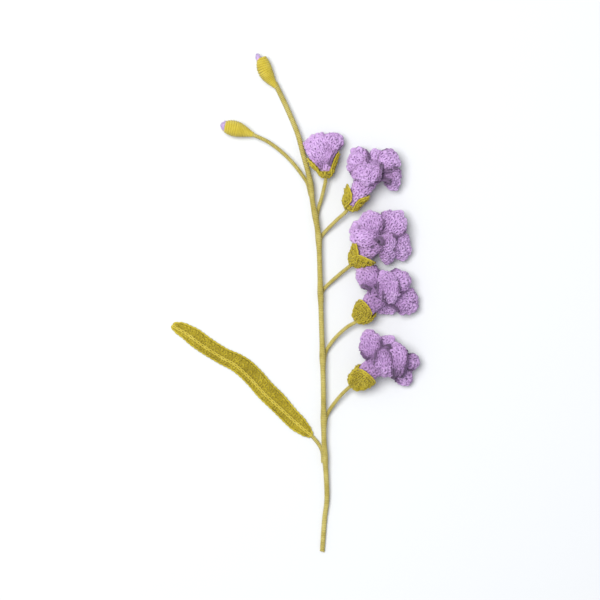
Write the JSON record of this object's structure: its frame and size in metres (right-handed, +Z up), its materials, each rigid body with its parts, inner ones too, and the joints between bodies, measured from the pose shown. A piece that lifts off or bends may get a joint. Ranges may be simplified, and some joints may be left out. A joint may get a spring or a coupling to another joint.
{
  "type": "crocheted freesia stem",
  "caption": "Crocheted freesia stem with ruffled lilac flowers, closed buds and one long leaf on yarn-wound wire, lying flat for display.",
  "frame": {"origin": "on the surface that the stem lies on, under the middle of its box", "axes": "+Y along the stem from its cut end to its top bud, +X towards the side with the flowers, +Z up from the surface"},
  "size_m": [0.1506, 0.3059, 0.0289],
  "materials": {
    "lilac_yarn": "matte crocheted cotton, lilac",
    "olive_yarn": "matte crocheted cotton, olive",
    "light_olive_yarn": "matte crocheted cotton, light olive",
    "wound_olive_yarn": "tightly wound cotton thread, olive",
    "steel_wire": "bare florist's wire"
  },
  "bodies": {
    "root": {"main_stem_wrap": "wound_olive_yarn", "main_stem_wire": "steel_wire", "bud_1_calyx": "light_olive_yarn", "bud_1_tip": "lilac_yarn", "bud_2_stalk_wrap": "wound_olive_yarn", "bud_2_stalk_wire": "steel_wire", "bud_2_calyx": "light_olive_yarn", "bud_2_tip": "lilac_yarn", "flower_1_stalk_wrap": "wound_olive_yarn", "flower_1_stalk_wire": "steel_wire", "flower_1_calyx": "olive_yarn", "flower_1_corolla": "lilac_yarn", "flower_2_stalk_wrap": "wound_olive_yarn", "flower_2_stalk_wire": "steel_wire", "flower_2_calyx": "olive_yarn", "flower_2_corolla": "lilac_yarn", "flower_3_stalk_wrap": "wound_olive_yarn", "flower_3_stalk_wire": "steel_wire", "flower_3_calyx": "olive_yarn", "flower_3_corolla": "lilac_yarn", "flower_4_stalk_wrap": "wound_olive_yarn", "flower_4_stalk_wire": "steel_wire", "flower_4_calyx": "olive_yarn", "flower_4_corolla": "lilac_yarn", "flower_5_stalk_wrap": "wound_olive_yarn", "flower_5_stalk_wire": "steel_wire", "flower_5_calyx": "olive_yarn", "flower_5_corolla": "lilac_yarn", "leaf": "olive_yarn", "leaf_stalk_wrap": "wound_olive_yarn", "leaf_wire": "steel_wire"}
  },
  "joints": []
}
